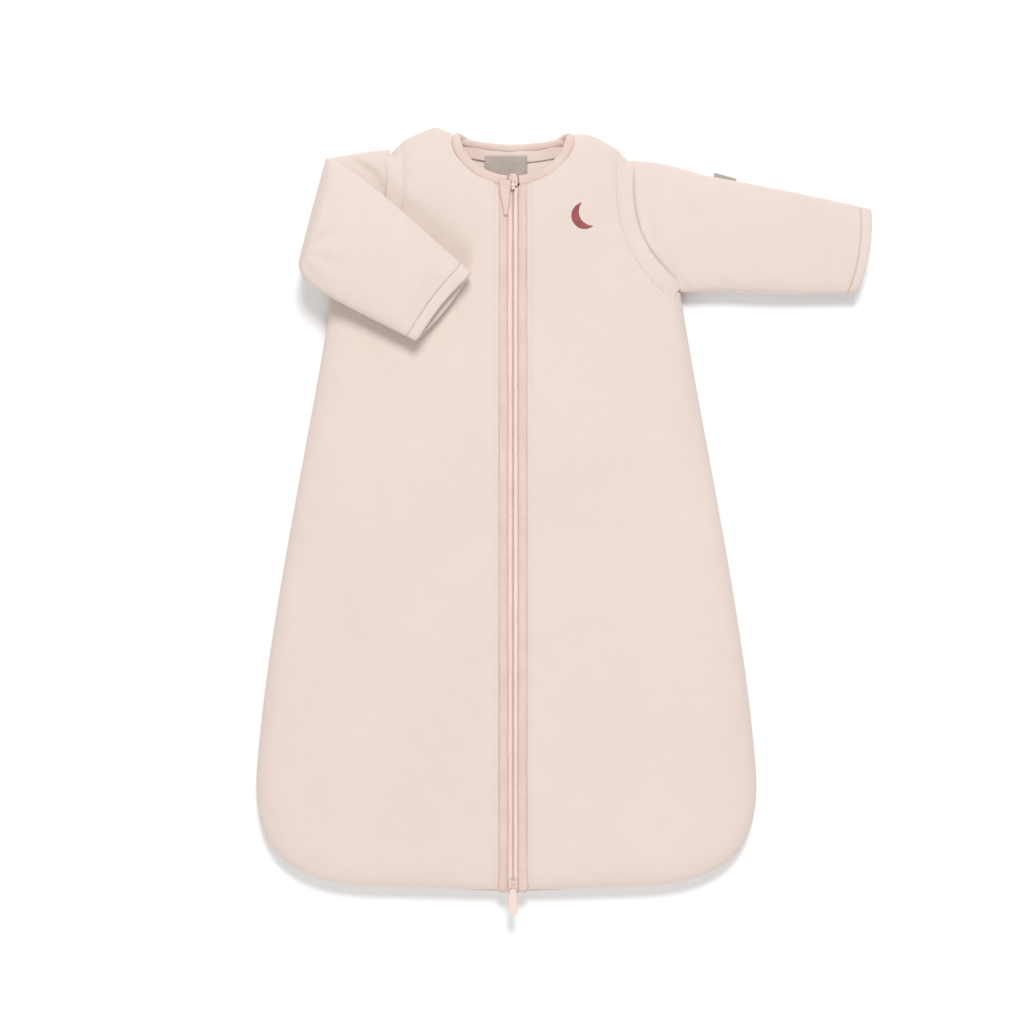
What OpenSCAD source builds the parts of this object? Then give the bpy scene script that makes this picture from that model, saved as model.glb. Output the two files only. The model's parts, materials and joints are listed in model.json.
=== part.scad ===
// Padded baby sleeping bag with long sleeves and a two-way zip, lying flat on its back.
// X points to the right sleeve as seen from above, Y points to the neck, Z points up.
// The origin is on the flat underside, below the zip, half way along the bag.

/* [Bag] */
// Half of the length from the shoulder points to the hem
half_length = 350; // [340:5:360]
// Half width of the bag at its widest place
half_width = 230.5; // [222:0.5:236]
// Half width at the armpits
armpit_half_width = 160; // [154:1:166]
// Height of the armpits above the middle of the bag
armpit_y = 200; // [192:1:206]
// How far the bag lies over to the left of its zip
lie_over = 6; // [0:1:10]

/* [Padding] */
// Thickness of one padded wall
wall = 9.8; // [9:0.1:10.6]
// Height of the space inside the bag
inner_gap = 6.4; // [5.5:0.1:7]
// Width of the margin where front and back come together
margin = 45; // [35:5:55]
// Thickness of one sleeve wall
sleeve_wall = 5.4; // [5:0.1:5.8]

/* [Neck] */
// Half width of the neck opening
neck_half_width = 49; // [46:0.5:52]
// Depth of the front neckline below the shoulder points
neck_depth = 41; // [38:0.5:44]
// Width of the rolled neck and placket bindings
binding = 9; // [8:0.2:9.4]

/* [Zip] */
// Half width of the slot between the placket bindings
slot = 4.6; // [4.5:0.1:5]
// Length of a zip slider
slider_length = 11; // [10:0.5:12]
// Length of the bottom pull tab
bottom_pull_length = 26; // [20:1:28]
// Diameter of the pull pins
pin_diameter = 1.2; // [1:0.1:1.3]

/* [Trim] */
// Diameter of the moon
moon_diameter = 25; // [22:0.5:28]
// Width of the neck label
label_width = 39; // [34:1:42]
// Width of the turned cuff hems
cuff_width = 10; // [8:0.5:12]

/* [Hidden] */
SHELL = [0.93, 0.86, 0.82];
BINDING = [0.93, 0.82, 0.78];
LINING = [0.89, 0.84, 0.77];
FILL = [0.97, 0.97, 0.95];
TAPE = [0.80, 0.68, 0.63];
METAL = [0.90, 0.79, 0.75];
MOON = [0.69, 0.37, 0.38];
LABEL = [0.81, 0.77, 0.73];

clear = 0.3;            // space between pieces that move past each other
touch = 0.1;            // space between pieces sewn together
sheet = 2;              // thickness of the shell and lining of the bag
edge_share = 0.82;      // share of the full wall thickness left at the seams
front_low = wall + touch + inner_gap + 0.2;  // underside of the front in the middle
front_top = front_low + wall;                // upper side of the front in the middle

// Fold lines of the front flaps: from the neckline slanting down to the middle of the zip
fold_apex_y = -300;
fold_top = [46, 320];
fold_slope = fold_top[0] / (fold_top[1] - fold_apex_y);
flap_start = fold_apex_y + 11.2 / fold_slope;  // lower end of the flaps, where they are wide enough to turn
zip_inner = 0.6;        // inner edge of a coil strand
zip_outer = 2.4;        // outer edge of a coil strand
tape_outer = 22;        // outer edge of a zip tape
tape_low = front_low + 2.0;
tape_high = tape_low + 0.7;
zip_bottom = -half_length - 1;
zip_top = half_length - neck_depth - 13;     // upper end of the coil, below the parked slider
binding_low = tape_high + 0.3;
binding_high = front_top + 0.7;
placket = slot + binding;                    // outer edge of a placket binding

// ---- Curves in plan, for the right half; the left half mirrors them ----

function smooth(t) = let(c = max(0, min(1, t))) c * c * (3 - 2 * c);
function bezier(p, t) = let(s = 1 - t)
    s * s * s * p[0] + 3 * s * s * t * p[1] + 3 * s * t * t * p[2] + t * t * t * p[3];
function run_lengths(p) =
    [for (i = 0, s = 0; i < len(p); s = s + (i + 1 < len(p) ? norm(p[i + 1] - p[i]) : 0), i = i + 1) s];
function along(p, s, f) = let(q = f * s[len(s) - 1])
    [for (axis = [0, 1]) lookup(q, [for (i = [0:len(p) - 1]) [s[i], p[i][axis]]])];
function resample(p, n) = let(s = run_lengths(p)) [for (i = [0:n]) along(p, s, i / n)];

widest = [half_width, -half_length + 100];
corner_end = [110, -half_length + 3];
shoulder_tip = [106, half_length - 26];
armpit = [armpit_half_width, armpit_y];
corner_curve = [corner_end, [200, -half_length + 3], [half_width + 0.5, -half_length + 35], widest];
side_curve = [widest, [half_width - 8, -115], [armpit_half_width + 20, 70], armpit];
armhole_curve = [armpit, [armpit_half_width - 50, 236], [98, 278], shoulder_tip];
neck_outer = [neck_half_width + binding, neck_depth + binding];  // half axes of the binding's outer edge

function neck_point(a, grow = 0) =
    [(neck_half_width + grow) * sin(a), half_length - (neck_depth + grow) * cos(a)];
function fold_x(y) = (y - fold_apex_y) * fold_slope;
function fold_y(x) = fold_apex_y + x / fold_slope;

shoulder_start = [neck_outer[0], half_length - 1];
shoulder_line = [shoulder_start, [82, half_length - 10], shoulder_tip];
hem_edge = concat([for (t = [0:0.1:0.5]) bezier(corner_curve, t)]);
side_edge = concat([for (t = [0.5:0.1:0.95]) bezier(corner_curve, t)],
    [for (t = [0:0.1:1]) bezier(side_curve, t)]);
closed_edge = concat([[0, -half_length]], hem_edge, side_edge);

function segment_distance(p, a, b) = let(d = b - a, t = max(0, min(1, (p - a) * d / (d * d))))
    norm(p - a - t * d);
function line_distance(p, line) =
    min([for (i = [0:len(line) - 2]) segment_distance(p, line[i], line[i + 1])]);
// Distance from a point to the nearest seam that joins front and back
function seam_distance(p) = let(q = [abs(p[0]), p[1]])
    min(line_distance(q, closed_edge), line_distance(q, shoulder_line));

// The bag lies a little over to the left: the zip stays on X = 0 and the sides move
function lay(p, side) = [side * p[0]
    - lie_over * smooth((p[0] - 50) / 90) * smooth((300 - p[1]) / 100), p[1]];

// A grid of points between four edge curves
function patch(bottom, top, left, right) = let(n = len(bottom) - 1, m = len(left) - 1)
    [for (j = [0:m]) [for (i = [0:n]) let(u = i / n, v = j / m)
        (1 - v) * bottom[i] + v * top[i] + (1 - u) * left[j] + u * right[j]
        - (1 - u) * (1 - v) * bottom[0] - u * (1 - v) * bottom[n] - (1 - u) * v * top[0] - u * v * top[n]]];
// The same grid laid on its side, each point with its distance to the seams
function laid(grid, side) =
    [for (row = grid) [for (p = row) let(q = lay(p, side)) [q[0], q[1], seam_distance(p)]]];

// Levels: t is 0 on the underside of a wall and 1 on its upper side
function share(d) = edge_share + (1 - edge_share) * smooth(d / 15);
function back_z(d, t) = t * wall * share(d);
function front_z(d, t) = back_z(d, 1) + touch + (inner_gap + 0.2) * smooth(d / margin)
    + t * wall * share(d);
shell_level = [0, sheet / wall];
fill_level = [(sheet + 0.2) / wall, 1 - (sheet + 0.2) / wall];
lining_level = [1 - sheet / wall, 1];

// A closed layer over a grid, between two heights
module layer(grid, low, high) {
    rows = len(grid);
    cols = len(grid[0]);
    count = rows * cols;
    points = concat([for (row = grid) for (p = row) [p[0], p[1], low(p)]],
        [for (row = grid) for (p = row) [p[0], p[1], high(p)]]);
    rim = concat([for (i = [0:cols - 2]) i], [for (j = [0:rows - 2]) j * cols + cols - 1],
        [for (i = [cols - 1:-1:1]) (rows - 1) * cols + i], [for (j = [rows - 1:-1:1]) j * cols]);
    edge = len(rim);
    faces = concat(
        [for (j = [0:rows - 2]) for (i = [0:cols - 2]) let(a = j * cols + i)
            each [[a, a + 1, a + cols + 1], [a, a + cols + 1, a + cols]]],
        [for (j = [0:rows - 2]) for (i = [0:cols - 2]) let(a = count + j * cols + i)
            each [[a, a + cols + 1, a + 1], [a, a + cols, a + cols + 1]]],
        [for (k = [0:edge - 1]) let(a = rim[k], b = rim[(k + 1) % edge])
            each [[a, a + count, b + count], [a, b + count, b]]]);
    polyhedron(points, faces, convexity = 8);
}

// ---- Grids ----

back_cols = 14;
front_cols = 8;
rows = 16;

function mirrored(p) = [for (i = [len(p) - 1:-1:0]) [-p[i][0], p[i][1]]];
function neck_back(x) = half_length - 2 - 9 * (1 - pow(x / shoulder_start[0], 2));
armside_edge = concat(side_edge, [for (t = [0.1:0.1:1]) bezier(armhole_curve, t)]);
back_top_right = concat([for (x = [0:9:54]) [x, neck_back(x)]], shoulder_line);
back_hem_right = concat([[0, -half_length]], hem_edge);
function full(p) = concat(mirrored(p), [for (i = [1:len(p) - 1]) p[i]]);
function lay_both(p) = lay([abs(p[0]), p[1]], p[0] < 0 ? -1 : 1);
back_plain = patch(resample(full(back_hem_right), back_cols), resample(full(back_top_right), back_cols),
    resample([for (p = armside_edge) [-p[0], p[1]]], rows), resample(armside_edge, rows));
back_grid = [for (row = back_plain) [for (p = row) let(q = lay_both(p)) [q[0], q[1], seam_distance(p)]]];

fold_edge = concat([[placket + touch, -half_length], [placket + touch, fold_y(placket + touch) - 2]],
    [for (y = [-60:60:300]) [fold_x(y) + clear, y]], [[fold_top[0] + clear, fold_top[1]]]);
neck_fold_angle = asin(fold_top[0] / neck_outer[0]);
front_neck_edge = [for (i = [0:4]) neck_point(neck_fold_angle + (88 - neck_fold_angle) * i / 4, binding)];
front_top_edge = concat(front_neck_edge, shoulder_line);
front_hem_edge = concat([[placket + touch, -half_length]], hem_edge);
front_plain = patch(resample(front_hem_edge, front_cols), resample(front_top_edge, front_cols),
    resample(fold_edge, rows), resample(armside_edge, rows));

module back_layer(level) {
    layer(back_grid, function(p) back_z(p[2], level[0]), function(p) back_z(p[2], level[1]));
}
// The left half is the right half turned over, so its grid is listed from the other end
function face_up(grid, side) = side > 0 ? grid : [for (row = grid) [for (i = [len(row) - 1:-1:0]) row[i]]];
module front_layer(side, level) {
    layer(face_up(laid(front_plain, side), side),
        function(p) front_z(p[2], level[0]), function(p) front_z(p[2], level[1]));
}

// ---- Back and front ----

module back_shell() color(SHELL) back_layer(shell_level);
module back_wadding() color(FILL) back_layer(fill_level);
module back_lining() color(LINING) back_layer(lining_level);
module front_shell(side) color(SHELL) front_layer(side, lining_level);
module front_wadding(side) color(FILL) front_layer(side, fill_level);
module front_lining(side) color(LINING) front_layer(side, shell_level);

// ---- Front flaps beside the zip ----

// Everything between the zip and the fold line, on one side
module flap_part(side) {
    intersection() {
        children();
        on_side(side) flap_half_space();
    }
}
// What is left of it outside the fold line
module foot_part(side) {
    difference() {
        children();
        on_side(side) flap_half_space(clear, 1);
    }
}
// Right-hand pieces stay, left-hand pieces are mirrored
module on_side(side) {
    if (side > 0) children();
    else mirror([1, 0, 0]) children();
}
// The space on the zip's side of the fold line, above the lower end of the flaps
module flap_half_space(grow = 0, gap = 0) {
    reach = 2 * half_length;
    linear_extrude(100) polygon([[fold_x(flap_start) + grow, flap_start - gap],
        [fold_x(half_length) + grow, half_length], [-reach, half_length], [-reach, flap_start - gap]]);
}
flap_neck = [for (i = [0:8]) neck_point(asin((slot + 0.2) / neck_outer[0])
    + (neck_fold_angle + 3 - asin((slot + 0.2) / neck_outer[0])) * i / 8, binding + touch)];

module flap_slab(side, inner, low, high) {
    flap_part(side) on_side(side) translate([0, 0, low]) linear_extrude(high - low)
        polygon(concat([[inner, flap_start - 10], [fold_top[0] + 4, flap_start - 10]],
            [for (i = [8:-1:0]) if (flap_neck[i][0] > inner) flap_neck[i]], [[inner, flap_neck_y(inner)]]));
}
function flap_neck_y(x) =
    half_length - (neck_outer[1] + touch) * sqrt(1 - pow(x / (neck_outer[0] + touch), 2));

module flap_shell(side) color(SHELL) flap_slab(side, placket + touch, front_top - sheet, front_top);
module flap_wadding(side) color(FILL)
    flap_slab(side, placket + touch, tape_high + 0.2, front_top - sheet - 0.2);
module flap_lining(side) color(LINING) flap_slab(side, 8, front_low, tape_low - 0.2);

// ---- Rolled bindings ----

module placket_strip(side) {
    on_side(side) translate([slot, zip_bottom, binding_low])
        cube([binding, flap_neck_y(placket) - 3 - zip_bottom, binding_high - binding_low]);
}
module placket_binding(side) color(BINDING) flap_part(side) placket_strip(side);
module placket_foot(side) color(BINDING) foot_part(side) placket_strip(side);

// Neck binding on a flap: a ring sector of an ellipse
module neck_binding(side) {
    first = asin(slot / neck_half_width);
    last = 80;
    color(BINDING) flap_part(side) on_side(side) translate([0, 0, binding_low])
        linear_extrude(binding_high - binding_low) difference() {
            polygon(concat([for (i = [0:10]) neck_point(first + (last - first) * i / 10)],
                [for (i = [10:-1:0]) let(q = neck_point(first + (last - first) * i / 10, binding))
                    [max(q[0], slot), q[1]]]));
            translate([0, half_length - neck_depth - binding - 4]) square([placket + touch, 6]);
        }
}
// The rest of the front neck binding, down to the shoulder point
shoulder_binding_plain = let(first = neck_fold_angle + 5, last = 84)
    [for (grow = [0, binding - 1]) [for (i = [0:5]) neck_point(first + (last - first) * i / 5, grow)]];
module neck_binding_shoulder(side) color(BINDING) foot_part(side)
    layer(face_up(laid([shoulder_binding_plain[1], shoulder_binding_plain[0]], side), side),
        function(p) front_z(p[2], 0), function(p) front_z(p[2], 1) + 0.6);
module neck_binding_back() {
    edge = 42;
    grid = [for (drop = [9, 1]) [for (x = [-edge:14:edge]) [x, neck_back(x) - drop]]];
    color(BINDING) layer(grid, function(p) wall + touch, function(p) wall + 1.6);
}

// ---- Zip ----

// One coil strand on its tape, out to a given edge
module zip_strip(side, outer) {
    length = zip_top - zip_bottom;
    on_side(side) translate([0, zip_bottom, 0]) {
        translate([zip_inner, 0, tape_low - 0.6]) cube([zip_outer - zip_inner, length, 2]);
        translate([zip_outer - 0.2, 0, tape_low]) cube([outer - zip_outer, length, 0.7]);
    }
}
module zip_side(side) color(TAPE) flap_part(side) zip_strip(side, tape_outer);
module zip_foot(side) color(TAPE) foot_part(side) zip_strip(side, placket);
module zip_bottom_stop() color(TAPE)
    translate([-3, zip_bottom - 2.4, tape_low - 0.8]) cube([6, 2, 2.4]);

// A slider around the chain, its nose towards +Y; its pull turns on a pin above it
slider_low = tape_low - 1.7;
slider_high = tape_high + 2.5;
pin_z = slider_high + 1.1;
module slider() {
    half = 4.1;
    nose = slider_length / 2;
    module plate(h) linear_extrude(h) polygon([[-half, -nose], [half, -nose], [half, 1],
        [half - 1.4, nose], [-half + 1.4, nose], [-half, 1]]);
    translate([0, 0, slider_low]) plate(0.8);
    translate([0, 0, slider_high - 1]) plate(1);
    // web between the two strands
    translate([-0.25, 1, slider_low]) cube([0.5, nose - 2, slider_high - slider_low]);
    // flanges outside the strands
    for (s = [-1, 1]) {
        translate([s > 0 ? 3 : -half, -nose, tape_high + 0.4])
            cube([half - 3, nose, slider_high - tape_high - 0.4]);
        translate([s > 0 ? 3 : -half, -nose, slider_low])
            cube([half - 3, nose, tape_low - 0.4 - slider_low]);
    }
    // two ears that hold the pin
    for (s = [-1, 1]) translate([s * 1.55 - 0.45, 0, slider_high - 0.2])
        difference() {
            translate([0, -1.6, 0]) cube([0.9, 3.2, 2.1]);
            translate([-1, 0, 1.3]) rotate([0, 90, 0]) cylinder(h = 3, d = pin_diameter + 0.1, $fn = 32);
        }
}
// A pull that lies along -Y from its pin: the pin turns in the slider's ears
module pull(length, width) {
    pin_length = 3.9;
    rotate([0, 90, 0]) cylinder(h = pin_length, d = pin_diameter, center = true, $fn = 32);
    translate([-0.8, -3.4, -0.5]) cube([1.6, 3.4, 1]);
    translate([0, -3, -0.7]) linear_extrude(1.4) polygon([[-width / 2 + 0.8, 0], [width / 2 - 0.8, 0],
        [width / 2, -1.4], [width / 2, -length + 4], [width / 2 - 1, -length + 3],
        [-width / 2 + 1, -length + 3], [-width / 2, -length + 4], [-width / 2, -1.4]]);
}
top_slider_y = half_length - neck_depth - slider_length / 2 - 0.5;
bottom_slider_y = zip_bottom + slider_length / 2 + 0.3;
module top_slider() color(METAL) translate([0, top_slider_y, 0]) slider();
module top_pull() color(METAL) translate([0, top_slider_y, pin_z]) pull(9, 3.6);
module bottom_slider() color(METAL) translate([0, bottom_slider_y, 0]) mirror([0, 1, 0]) slider();
module bottom_pull() color(METAL) translate([0, bottom_slider_y, pin_z]) pull(bottom_pull_length, 8);

// ---- Small trim ----

module chin_guard() color(BINDING) translate([0, 0, binding_high + touch]) linear_extrude(1.1)
    polygon([[-slot - binding + 1, 302], [-1.8, 302], [-3, 284], [-5.6, 273], [-slot - 2, 271],
        [-slot - binding + 2, 290]]);
module neck_label() color(LABEL)
    translate([-6.4 - label_width / 2, 300, wall + touch]) cube([label_width, 26, 0.6]);
module moon_applique() color(MOON) translate([65.5, 269.5, front_top + touch]) linear_extrude(0.7)
    difference() {
        circle(d = moon_diameter, $fn = 64);
        translate([6.6, 5.2]) circle(d = moon_diameter * 0.9, $fn = 64);
    }

// ---- Armholes ----

// Points at a distance outside the armhole edge, from the shoulder tip down to the armpit
function armhole_line(out, n, first = 0, last = 1) = [for (i = [0:n])
    let(t = 1 - (first + (last - first) * i / n), a = bezier(armhole_curve, t),
        d = bezier(armhole_curve, min(1, t + 0.01)) - bezier(armhole_curve, max(0, t - 0.01)))
    a + out * [d[1], -d[0]] / norm(d)];
module armhole_strip(side, inner, outer, low, high, first = 0.04, last = 0.94) {
    plain = [for (out = [inner, outer]) [for (p = armhole_line(out, 9, first, last)) p]];
    laid_plain = [for (row = plain) [for (p = row) lay(p, side)]];
    layer(face_up([laid_plain[1], laid_plain[0]], -side), function(p) low, function(p) high);
}
lap_low = front_top + touch;
module armhole_lap(side) color(BINDING) armhole_strip(side, -4, 7, lap_low, lap_low + 1.6);
module sleeve_zip(side) color(TAPE) {
    armhole_strip(side, 2.8, 4.6, lap_low - 1.9, lap_low - 0.5);
    armhole_strip(side, 5, 6.8, lap_low - 1.9, lap_low - 0.5);
}

// ---- Sleeves ----

crease_z = front_top + 0.5;     // height of the fold axes of both sleeves
right_crease = [[174, 308], [196, 202]];
right_cuff = [[329, 276], [315, 200]];
left_crease = [[-172, 322], [-196, 228]];
left_cuff = [[-38, 217], [-89, 154]];

function power(v, p) = sign(v) * pow(abs(v), p);
ring_points = 20;
// One ring of a flattened tube: the plan runs along a line of points, inset moves inwards
function ring(line, low, high, inset) = let(n = ring_points, width = norm(line[0] - line[len(line) - 1]),
        s = run_lengths(line), middle = (low + high) / 2, half = (high - low) / 2 - inset,
        reach = 1 - 2 * inset / width)
    [for (k = [0:n - 1]) let(a = 360 * k / n, p = along(line, s, 0.5 - 0.5 * reach * power(cos(a), 0.7)))
        [p[0], p[1], middle + half * power(sin(a), 0.6)]];
// Rings joined to a tube with open ends: outer and inner lists have the same length
module tube(outer, inner) {
    n = ring_points;
    m = len(outer);
    points = concat([for (r = outer) each r], [for (r = inner) each r]);
    base = m * n;
    walls = [for (j = [0:m - 2]) for (k = [0:n - 1]) let(a = j * n + k, b = j * n + (k + 1) % n)
        each [[a, a + n, b + n], [a, b + n, b]]];
    inside = [for (f = walls) [f[0] + base, f[2] + base, f[1] + base]];
    ends = [for (k = [0:n - 1]) let(b = (k + 1) % n, e = (m - 1) * n)
        each [[k, b, b + base], [k, b + base, k + base],
            [e + k, e + b + base, e + b], [e + k, e + k + base, e + b + base]]];
    polyhedron(points, concat(walls, inside, ends), convexity = 8);
}
function mix_lines(a, b, s) = [for (i = [0:len(a) - 1]) a[i] + (b[i] - a[i]) * s];
function straight(ends, n) = [for (i = [0:n]) ends[0] + (ends[1] - ends[0]) * i / n];

sleeve_sheet = 1;
sleeve_levels = [[0, sleeve_sheet], [sleeve_sheet + 0.2, sleeve_wall - sleeve_sheet - 0.2],
    [sleeve_wall - sleeve_sheet, sleeve_wall]];
chord = 10;
sleeve_start = 3.2;     // space between the armhole edge and the end of a sleeve
function upper_plan(side) =
    let(arm = [for (p = armhole_line(sleeve_start, chord, 0.02, 0.98)) lay(p, side)],
        crease = straight(side > 0 ? right_crease : left_crease, chord), stop = 1 - 0.3 / 60)
    [for (s = [0, 0.25, 0.6, stop]) mix_lines(arm, crease, s)];
upper_low = [5, 3.5, 2.5, 2.5];
upper_high = [lap_low - 2.3, lap_low - 1, front_top, front_top];
// Tube walls between two insets; a left sleeve runs the other way, so its faces are turned
module sleeve_tube(side, plan, low, high, level) {
    m = len(plan) - 1;
    order = side > 0 ? [0:m] : [m:-1:0];
    tube([for (i = order) ring(plan[i], low[i], high[i], level[0])],
        [for (i = order) ring(plan[i], low[i], high[i], level[1])]);
}
module upper_sleeve(side, level) sleeve_tube(side, upper_plan(side), upper_low, upper_high, level);

// A forearm runs from the crease to the cuff; the left one lies folded over the chest
cuff_start = 1 - cuff_width / 140;
function forearm_plan(side, stops) = let(crease = straight(side > 0 ? right_crease : left_crease, chord),
        cuff = straight(side > 0 ? right_cuff : left_cuff, chord))
    [for (s = stops) mix_lines(crease, cuff, s)];
forearm_stops = [0.3 / 60, 0.3, 0.65, cuff_start - touch / 140];
// Heights below and above the crease axis, for a forearm that lies straight out
forearm_top_drop = [0.5, 1.8, 2.4, 3];
forearm_bottom_drop = [23.6, 23.6, 22.5, 21.5];
function forearm_low(side) =
    [for (i = [0:3]) crease_z + (side > 0 ? -forearm_bottom_drop[i] : forearm_top_drop[i])];
function forearm_high(side) =
    [for (i = [0:3]) crease_z + (side > 0 ? -forearm_top_drop[i] : forearm_bottom_drop[i])];
module forearm(side, level) sleeve_tube(1, forearm_plan(side, forearm_stops),
    forearm_low(side), forearm_high(side), level);
module cuff_hem(side) color(BINDING) let(low = forearm_low(side)[3], high = forearm_high(side)[3])
    sleeve_tube(1, forearm_plan(side, [cuff_start, 1]), [low, low], [high, high], [0, sleeve_wall]);
module sleeve_tag() color(LABEL) translate([193.5, 304.6, crease_z - 13]) rotate(-16)
    translate([-10, 0, 0]) cube([20, 5, 0.8]);

// ---- Nodes ----

back_shell();
back_wadding();
back_lining();
front_shell(1);  // front_right_shell
front_wadding(1);  // front_right_wadding
front_lining(1);  // front_right_lining
front_shell(-1);  // front_left_shell
front_wadding(-1);  // front_left_wadding
front_lining(-1);  // front_left_lining
flap_shell(1);  // flap_right_shell
flap_wadding(1);  // flap_right_wadding
flap_lining(1);  // flap_right_lining
flap_shell(-1);  // flap_left_shell
flap_wadding(-1);  // flap_left_wadding
flap_lining(-1);  // flap_left_lining
placket_binding(1);  // placket_right
placket_binding(-1);  // placket_left
placket_foot(1);  // placket_right_foot
placket_foot(-1);  // placket_left_foot
neck_binding(1);  // neck_binding_right
neck_binding(-1);  // neck_binding_left
neck_binding_shoulder(1);  // neck_binding_right_shoulder
neck_binding_shoulder(-1);  // neck_binding_left_shoulder
neck_binding_back();
zip_side(1);  // zip_side_right
zip_side(-1);  // zip_side_left
zip_foot(1);  // zip_foot_right
zip_foot(-1);  // zip_foot_left
zip_bottom_stop();
top_slider();
top_pull();
bottom_slider();
bottom_pull();
chin_guard();
neck_label();
moon_applique();
sleeve_tag();
armhole_lap(1);  // armhole_lap_right
armhole_lap(-1);  // armhole_lap_left
sleeve_zip(1);  // sleeve_zip_right
sleeve_zip(-1);  // sleeve_zip_left
color(SHELL) upper_sleeve(1, sleeve_levels[0]);  // sleeve_right_shell
color(FILL) upper_sleeve(1, sleeve_levels[1]);  // sleeve_right_wadding
color(LINING) upper_sleeve(1, sleeve_levels[2]);  // sleeve_right_lining
color(SHELL) forearm(1, sleeve_levels[0]);  // forearm_right_shell
color(FILL) forearm(1, sleeve_levels[1]);  // forearm_right_wadding
color(LINING) forearm(1, sleeve_levels[2]);  // forearm_right_lining
cuff_hem(1);  // cuff_hem_right
color(SHELL) upper_sleeve(-1, sleeve_levels[0]);  // sleeve_left_shell
color(FILL) upper_sleeve(-1, sleeve_levels[1]);  // sleeve_left_wadding
color(LINING) upper_sleeve(-1, sleeve_levels[2]);  // sleeve_left_lining
color(SHELL) forearm(-1, sleeve_levels[0]);  // forearm_left_shell
color(FILL) forearm(-1, sleeve_levels[1]);  // forearm_left_wadding
color(LINING) forearm(-1, sleeve_levels[2]);  // forearm_left_lining
cuff_hem(-1);  // cuff_hem_left
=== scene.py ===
"""Looks of a padded baby sleeping bag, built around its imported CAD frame. Metres, +Z up, zip along Y."""

import json
import math

import bmesh
import bpy
import numpy as np
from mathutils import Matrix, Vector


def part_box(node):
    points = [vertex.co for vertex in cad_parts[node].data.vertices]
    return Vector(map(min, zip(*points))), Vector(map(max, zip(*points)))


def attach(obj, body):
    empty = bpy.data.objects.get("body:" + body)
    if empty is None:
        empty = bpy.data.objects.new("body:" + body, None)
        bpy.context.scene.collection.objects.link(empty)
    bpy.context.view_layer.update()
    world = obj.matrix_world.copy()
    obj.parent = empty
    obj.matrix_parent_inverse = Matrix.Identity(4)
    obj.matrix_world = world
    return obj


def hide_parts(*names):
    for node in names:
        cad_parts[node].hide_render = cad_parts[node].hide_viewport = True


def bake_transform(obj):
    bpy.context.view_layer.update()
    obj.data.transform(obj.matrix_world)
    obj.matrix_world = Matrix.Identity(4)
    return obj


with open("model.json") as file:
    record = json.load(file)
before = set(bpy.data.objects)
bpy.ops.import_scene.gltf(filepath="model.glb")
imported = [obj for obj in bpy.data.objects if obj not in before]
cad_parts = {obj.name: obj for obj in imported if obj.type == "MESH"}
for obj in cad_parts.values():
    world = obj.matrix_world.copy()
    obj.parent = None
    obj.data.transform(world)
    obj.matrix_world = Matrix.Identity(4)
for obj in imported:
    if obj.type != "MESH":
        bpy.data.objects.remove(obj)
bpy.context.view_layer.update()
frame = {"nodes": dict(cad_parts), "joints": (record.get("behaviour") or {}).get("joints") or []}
MM = 0.001

# ---------------- sizes taken from the frame
BACK_LOW, BACK_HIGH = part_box("back_shell")
LINING_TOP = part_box("back_lining")[1].z
FRONT_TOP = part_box("front_right_shell")[1].z
FRONT_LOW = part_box("flap_right_lining")[0].z
HEM = BACK_LOW.y
SHOULDER = BACK_HIGH.y
HALF_WIDTH = (BACK_HIGH.x - BACK_LOW.x) / 2
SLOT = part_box("placket_right")[0].x
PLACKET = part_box("placket_right")[1].x
BINDING_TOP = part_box("placket_right")[1].z
TAPE_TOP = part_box("zip_side_right")[1].z
SEWN_EDGE = PLACKET - 0.8 * MM       # where the cloth of a front half ends under the placket binding
JOINTS = {j["name"]: j for j in frame["joints"]}


# ---------------- small numeric helpers
def smooth(t):
    c = np.clip(t, 0, 1)
    return c * c * (3 - 2 * c)


def bezier(p, n):
    t = np.linspace(0, 1, n)[:, None]
    p = np.array(p, float)
    s = 1 - t
    return s**3 * p[0] + 3 * s * s * t * p[1] + 3 * s * t * t * p[2] + t**3 * p[3]


def at(points, positions):
    """Points of a line at the given shares of its length."""
    p = np.array(points, float)
    s = np.concatenate([[0], np.cumsum(np.linalg.norm(np.diff(p, axis=0), axis=1))])
    return np.stack([np.interp(positions * s[-1], s, p[:, k]) for k in range(p.shape[1])], axis=1)


def patch(bottom, top, left, right):
    """Coons patch between four lines: rows run from bottom to top."""
    u = np.linspace(0, 1, len(bottom))[None, :, None]
    v = np.linspace(0, 1, len(left))[:, None, None]
    corners = ((1 - u) * (1 - v) * bottom[0] + u * (1 - v) * bottom[-1]
               + (1 - u) * v * top[0] + u * v * top[-1])
    return (1 - v) * bottom[None] + v * top[None] + (1 - u) * left[:, None] + u * right[:, None] - corners


def line_distance(x, y, line):
    """Distance from each point to a line of points."""
    best = np.full(x.shape, 1e9)
    for a, b in zip(line[:-1], line[1:]):
        d = b - a
        t = np.clip(((x - a[0]) * d[0] + (y - a[1]) * d[1]) / (d @ d), 0, 1)
        best = np.minimum(best, np.hypot(x - a[0] - t * d[0], y - a[1] - t * d[1]))
    return best


def ripple(x, y, wavelength, seed, count=7):
    """Smooth pseudo-random height from -1 to 1, made of a few plane waves."""
    draw = np.random.RandomState(seed)
    total = np.zeros_like(x)
    for _ in range(count):
        angle, phase = draw.uniform(0, math.pi), draw.uniform(0, 2 * math.pi)
        k = 2 * math.pi / (wavelength * draw.uniform(0.7, 1.5))
        total += np.sin(k * (x * math.cos(angle) + y * math.sin(angle)) + phase)
    return total / count * 1.6


def groove(distance, centre, width):
    return np.exp(-((distance - centre) / width) ** 2)


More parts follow.
